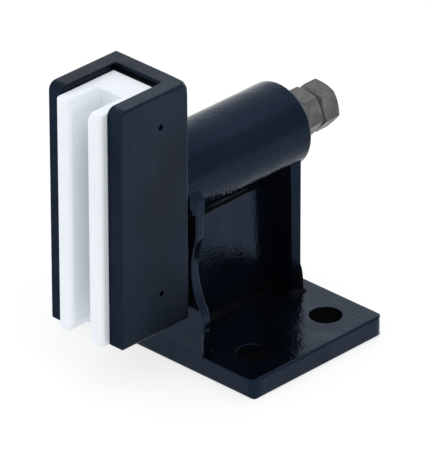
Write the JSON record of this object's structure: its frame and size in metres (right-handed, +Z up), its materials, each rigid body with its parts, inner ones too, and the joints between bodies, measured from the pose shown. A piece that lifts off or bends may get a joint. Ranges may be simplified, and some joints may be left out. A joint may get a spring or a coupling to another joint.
{
  "type": "elevator guide shoe",
  "caption": "Sprung sliding guide shoe: a channel head with a plastic rail liner on a round stem that floats and swivels in the barrel of a welded bolt-down bracket.",
  "frame": {"origin": "centre of the bolt pattern on the underside of the base", "axes": "+X back along the barrel, away from the rail; +Y across the base; +Z up, along the rail"},
  "size_m": [0.188, 0.14, 0.175],
  "materials": {
    "black_paint": "gloss black paint with a slight orange peel",
    "white_plastic": "smooth sliding plastic",
    "plain_steel": "dull plain steel",
    "black_rubber": "matte rubber",
    "bronze": "turned bronze"
  },
  "bodies": {
    "bracket": {"base_plate": "black_paint", "front_plate": "black_paint", "rear_plate": "black_paint", "web_plate": "black_paint", "base_welds": "black_paint", "barrel_welds": "black_paint", "barrel": "black_paint", "guide_bush": "bronze", "end_cap": "black_paint", "end_cap_weld": "black_paint", "spring": "plain_steel"},
    "seat": {"spring_seat": "plain_steel"},
    "head": {"shoe_head": "black_paint", "liner": "white_plastic", "liner_pad": "black_rubber", "liner_pins": "black_paint", "stem": "plain_steel", "flat_washer": "plain_steel", "adjusting_nut": "plain_steel", "lock_nut": "plain_steel"}
  },
  "joints": [
    {"name": "float", "type": "slide", "parent": "bracket", "child": "seat", "axis": [1, 0, 0], "range_m": [0, 0.0012], "stiffness_N_per_m": 20000, "springref_m": -0.01, "deforming": ["spring"]},
    {"name": "swivel", "type": "hinge", "parent": "seat", "child": "head", "pos_m": [0, 0, 0.105], "axis": [1, 0, 0], "continuous": true}
  ]
}
